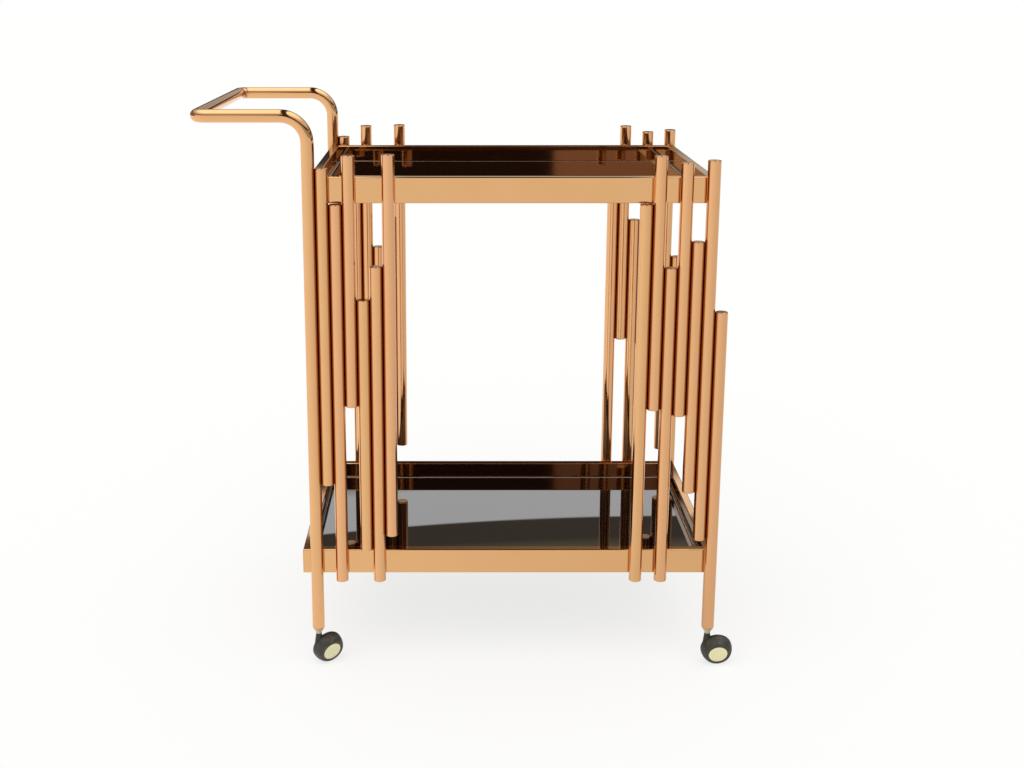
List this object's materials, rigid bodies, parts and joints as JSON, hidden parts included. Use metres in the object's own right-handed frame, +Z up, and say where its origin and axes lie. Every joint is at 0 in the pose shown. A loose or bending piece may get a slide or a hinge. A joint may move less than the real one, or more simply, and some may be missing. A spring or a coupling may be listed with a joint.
{
  "type": "bar cart",
  "caption": "Two-tier rolling bar cart of rose-gold tube with staggered corner screens, black glass shelves, a bent push handle and swivelling ball casters.",
  "frame": {"origin": "on the floor, under the middle of the cart's outline", "axes": "+X along the trays away from the push handle, -Y the front, +Z up"},
  "size_m": [0.8034, 0.456, 0.8515],
  "materials": {
    "rose_gold_steel": "polished",
    "black_glass": "polished",
    "black_nylon": "moulded",
    "black_rubber": "satin",
    "cream_hub": "glossy",
    "pale_gold_socket": "plated",
    "zinc_steel": "zinc plated",
    "clear_silicone": "soft"
  },
  "bodies": {
    "frame": {"front_left_leg": "rose_gold_steel", "front_left_tube_1": "rose_gold_steel", "front_left_tube_2": "rose_gold_steel", "front_left_tube_3": "rose_gold_steel", "front_left_tube_4": "rose_gold_steel", "front_left_tube_5": "rose_gold_steel", "front_left_tube_6": "rose_gold_steel", "front_right_leg": "rose_gold_steel", "front_right_tube_1": "rose_gold_steel", "front_right_tube_2": "rose_gold_steel", "front_right_tube_3": "rose_gold_steel", "front_right_tube_4": "rose_gold_steel", "front_right_tube_5": "rose_gold_steel", "front_right_tube_6": "rose_gold_steel", "rear_left_leg": "rose_gold_steel", "rear_left_tube_1": "rose_gold_steel", "rear_left_tube_2": "rose_gold_steel", "rear_left_tube_3": "rose_gold_steel", "rear_left_tube_4": "rose_gold_steel", "rear_left_tube_5": "rose_gold_steel", "rear_left_tube_6": "rose_gold_steel", "rear_right_leg": "rose_gold_steel", "rear_right_tube_1": "rose_gold_steel", "rear_right_tube_2": "rose_gold_steel", "rear_right_tube_3": "rose_gold_steel", "rear_right_tube_4": "rose_gold_steel", "rear_right_tube_5": "rose_gold_steel", "rear_right_tube_6": "rose_gold_steel", "handle_crossbar": "rose_gold_steel", "tube_end_caps": "rose_gold_steel", "caster_sockets": "pale_gold_socket", "glass_pads": "clear_silicone", "upper_long_rails": "rose_gold_steel", "upper_end_rails": "rose_gold_steel", "upper_glass_ledges": "rose_gold_steel", "upper_glass": "black_glass", "lower_long_rails": "rose_gold_steel", "lower_end_rails": "rose_gold_steel", "lower_glass_ledges": "rose_gold_steel", "lower_glass": "black_glass"},
    "front_left_swivel": {"front_left_caster_housing": "black_nylon", "front_left_caster_stem": "zinc_steel", "front_left_caster_axle": "zinc_steel"},
    "front_left_wheel": {"front_left_caster_wheel": "black_rubber", "front_left_hub_cap": "cream_hub"},
    "front_right_swivel": {"front_right_caster_housing": "black_nylon", "front_right_caster_stem": "zinc_steel", "front_right_caster_axle": "zinc_steel"},
    "front_right_wheel": {"front_right_caster_wheel": "black_rubber", "front_right_hub_cap": "cream_hub"},
    "rear_left_swivel": {"rear_left_caster_housing": "black_nylon", "rear_left_caster_stem": "zinc_steel", "rear_left_caster_axle": "zinc_steel"},
    "rear_left_wheel": {"rear_left_caster_wheel": "black_rubber", "rear_left_hub_cap": "cream_hub"},
    "rear_right_swivel": {"rear_right_caster_housing": "black_nylon", "rear_right_caster_stem": "zinc_steel", "rear_right_caster_axle": "zinc_steel"},
    "rear_right_wheel": {"rear_right_caster_wheel": "black_rubber", "rear_right_hub_cap": "cream_hub"}
  },
  "joints": [
    {"name": "front_left_turn", "type": "hinge", "parent": "frame", "child": "front_left_swivel", "pos_m": [-0.23524, -0.2095, 0.05], "axis": [0, 0, 1], "continuous": true},
    {"name": "front_left_roll", "type": "hinge", "parent": "front_left_swivel", "child": "front_left_wheel", "pos_m": [-0.22326, -0.20047, 0.024], "axis": [0.5755, -0.7637, -0.2924], "continuous": true},
    {"name": "front_right_turn", "type": "hinge", "parent": "frame", "child": "front_right_swivel", "pos_m": [0.36276, -0.2095, 0.05], "axis": [0, 0, 1], "continuous": true},
    {"name": "front_right_roll", "type": "hinge", "parent": "front_right_swivel", "child": "front_right_wheel", "pos_m": [0.37774, -0.20872, 0.024], "axis": [0.05, -0.955, -0.2924], "continuous": true},
    {"name": "rear_left_turn", "type": "hinge", "parent": "frame", "child": "rear_left_swivel", "pos_m": [-0.23524, 0.2095, 0.05], "axis": [0, 0, 1], "continuous": true},
    {"name": "rear_left_roll", "type": "hinge", "parent": "rear_left_swivel", "child": "rear_left_wheel", "pos_m": [-0.25022, 0.20872, 0.024], "axis": [-0.05, 0.955, -0.2924], "continuous": true},
    {"name": "rear_right_turn", "type": "hinge", "parent": "frame", "child": "rear_right_swivel", "pos_m": [0.36276, 0.2095, 0.05], "axis": [0, 0, 1], "continuous": true},
    {"name": "rear_right_roll", "type": "hinge", "parent": "rear_right_swivel", "child": "rear_right_wheel", "pos_m": [0.35078, 0.20047, 0.024], "axis": [-0.5755, 0.7637, -0.2924], "continuous": true}
  ]
}
